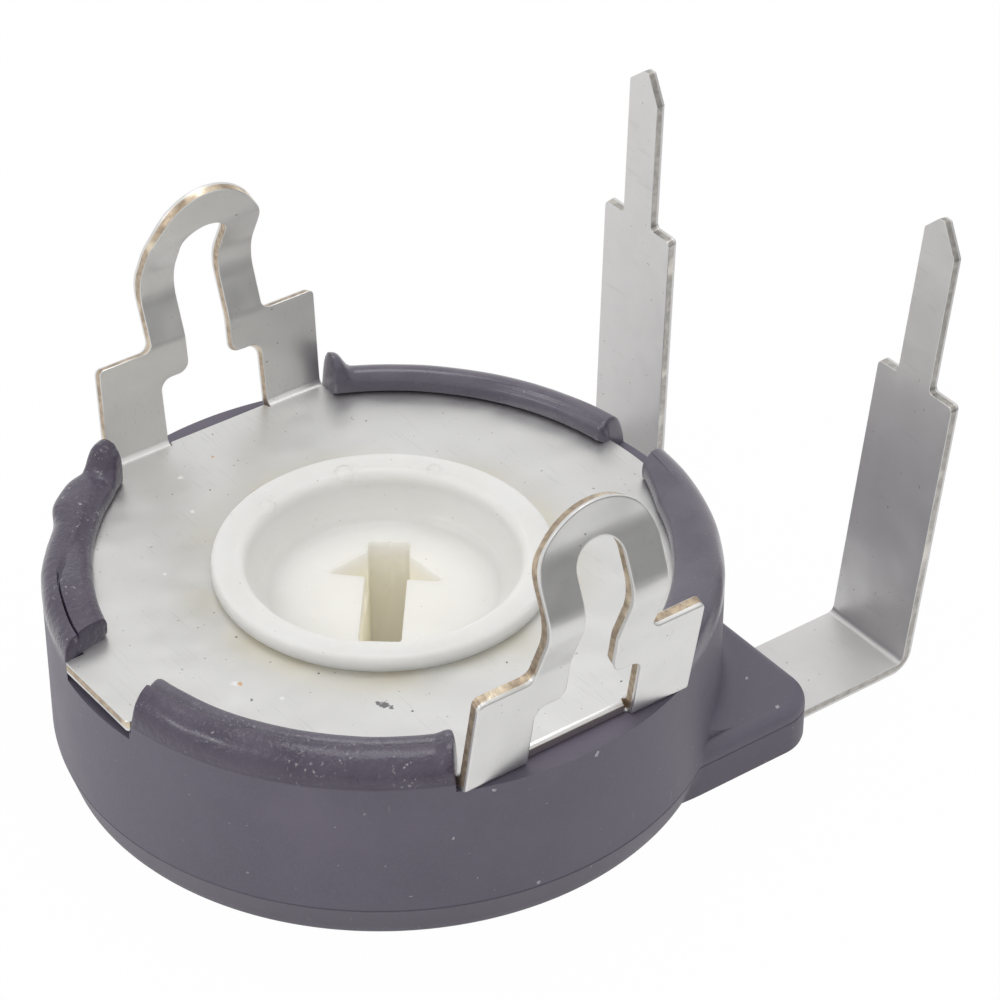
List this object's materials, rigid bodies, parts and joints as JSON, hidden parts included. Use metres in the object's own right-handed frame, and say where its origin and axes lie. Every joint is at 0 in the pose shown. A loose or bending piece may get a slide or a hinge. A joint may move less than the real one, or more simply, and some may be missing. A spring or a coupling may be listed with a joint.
{
  "type": "potentiometer",
  "caption": "Round carbon trimming potentiometer with a driver-slotted rotor, a cover plate with snap lugs, and pins bent up beside it.",
  "frame": {"origin": "on the rotor's axis, in the plane of the housing's flat bottom", "axes": "+Z along the rotor's axis towards the driver slot, the lugs and the pins; +X towards the two terminals; +Y towards the back snap lug"},
  "size_m": [0.0214, 0.0175, 0.0121],
  "materials": {
    "housing_plastic": "moulded dark violet-grey plastic, satin to glossy, with hot-folded claws",
    "tinned_plate": "tinned sheet, rolled and scratched, with brassy sheared edges",
    "tinned_strip": "tinned strip, satin, with sheared edges",
    "rotor_plastic": "white moulded plastic, slightly translucent, soft sheen",
    "spring_bronze": "phosphor bronze spring sheet",
    "laminate": "brown paper laminate board",
    "carbon_print": "printed carbon, dull black",
    "silver_print": "printed silver, satin",
    "eyelet_metal": "rolled brass eyelet, tinned"
  },
  "bodies": {
    "base": {"housing": "housing_plastic", "cover_plate": "tinned_plate", "resistor_board": "laminate", "carbon_track": "carbon_print", "back_terminal": "tinned_strip", "front_terminal": "tinned_strip", "back_track_pad": "silver_print", "front_track_pad": "silver_print", "back_eyelet": "eyelet_metal", "front_eyelet": "eyelet_metal"},
    "rotor": {"rotor": "rotor_plastic", "wiper_spring": "spring_bronze"}
  },
  "joints": [
    {"name": "rotor_turn", "type": "hinge", "parent": "base", "child": "rotor", "pos_m": [0, 0, 0.0042], "axis": [0, 0, 1], "range_deg": [-4, 261]}
  ]
}
